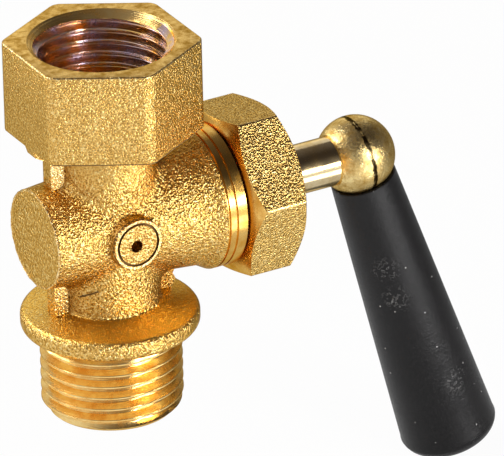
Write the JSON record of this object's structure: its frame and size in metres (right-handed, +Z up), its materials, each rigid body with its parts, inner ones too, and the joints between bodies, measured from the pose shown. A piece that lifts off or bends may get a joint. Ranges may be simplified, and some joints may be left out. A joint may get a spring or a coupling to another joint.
{
  "type": "pressure gauge valve",
  "caption": "Brass gauge cock with a hexagon gauge socket, a flanged pipe thread, a vented tapered plug, a packed gland and a black lever handle.",
  "frame": {"origin": "centre of the flange's sealing underside, on the flow axis", "axes": "+Z up the flow axis to the gauge socket, +X along the plug's axis to the lever, -Y towards the vent"},
  "size_m": [0.0771, 0.0288, 0.0813],
  "materials": {
    "forged_brass": "hot forged, sand blasted, with turned threads and faces",
    "turned_brass": "turned bright",
    "packing": "pressed PTFE rings",
    "rod_steel": "drawn steel",
    "grip_plastic": "moulded black, satin"
  },
  "bodies": {
    "valve": {"valve_body": "forged_brass", "gland_nut": "forged_brass", "gland_follower": "turned_brass", "thrust_washer": "turned_brass", "packing_ring_1": "packing", "packing_ring_2": "packing", "packing_ring_3": "packing"},
    "lever": {"plug_stem": "turned_brass", "lever_ball": "turned_brass", "lever_rod": "rod_steel", "handle_grip": "grip_plastic"}
  },
  "joints": [
    {"name": "plug_turn", "type": "hinge", "parent": "valve", "child": "lever", "pos_m": [0, 0, 0.01675], "axis": [1, 0, 0], "continuous": true}
  ]
}
